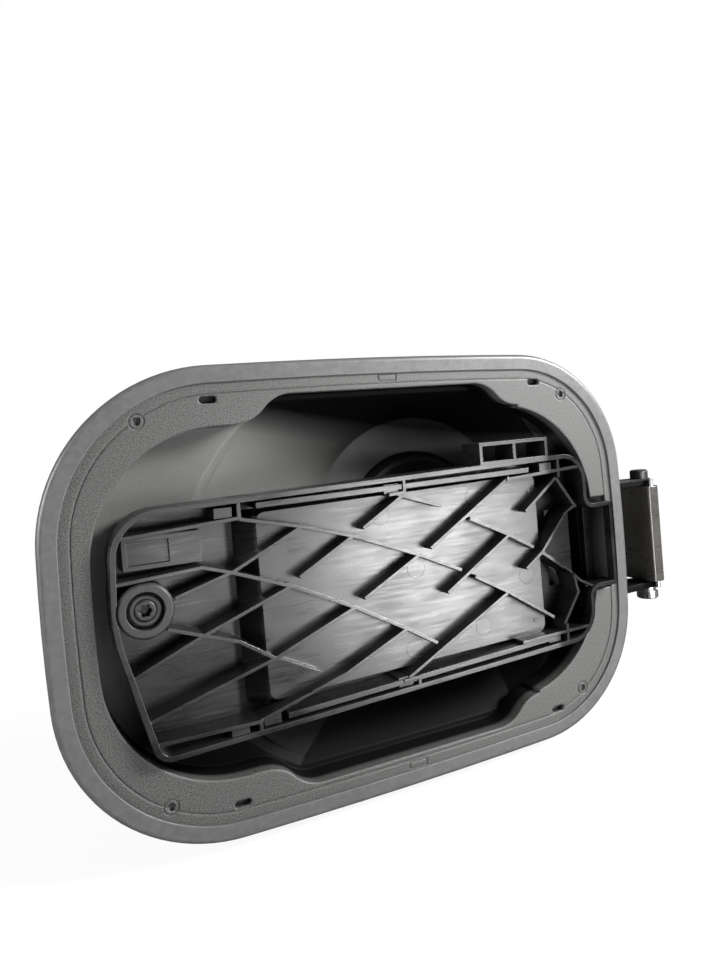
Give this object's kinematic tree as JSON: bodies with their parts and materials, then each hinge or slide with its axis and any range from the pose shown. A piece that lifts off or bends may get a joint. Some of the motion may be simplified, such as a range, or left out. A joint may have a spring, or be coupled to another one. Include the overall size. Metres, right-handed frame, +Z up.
{
  "type": "fuel filler housing",
  "caption": "Oblong flanged fuel filler pocket with a soft edge seal and a ribbed door carrier that swings open on a gooseneck hinge.",
  "frame": {"origin": "midway between the four clip slots, on the front face of the flange", "axes": "+X towards the hinge, +Y into the car, +Z up"},
  "size_m": [0.3057, 0.077, 0.1858],
  "materials": {
    "housing_plastic": "fine grained moulding",
    "seal_rubber": "smooth satin",
    "boot_rubber": "smooth satin",
    "pin_steel": "dark passivated",
    "cap_plastic": "satin",
    "carrier_plastic": "semi-gloss glass-filled moulding",
    "bush_plastic": "natural",
    "striker_plastic": "satin"
  },
  "bodies": {
    "housing": {"pocket_housing": "housing_plastic", "perimeter_seal": "seal_rubber", "neck_boot": "boot_rubber", "hinge_pin": "pin_steel", "pin_cap": "cap_plastic"},
    "door": {"door_carrier": "carrier_plastic", "upper_bush": "bush_plastic", "lower_bush": "bush_plastic", "spring_rod": "pin_steel", "striker_collar": "striker_plastic", "striker_sleeve": "striker_plastic", "striker_pin": "striker_plastic"}
  },
  "joints": [
    {"name": "door_hinge", "type": "hinge", "parent": "housing", "child": "door", "pos_m": [0.1567, 0.015, -0.0049], "axis": [0, 0, 1], "range_deg": [0, 85]}
  ]
}
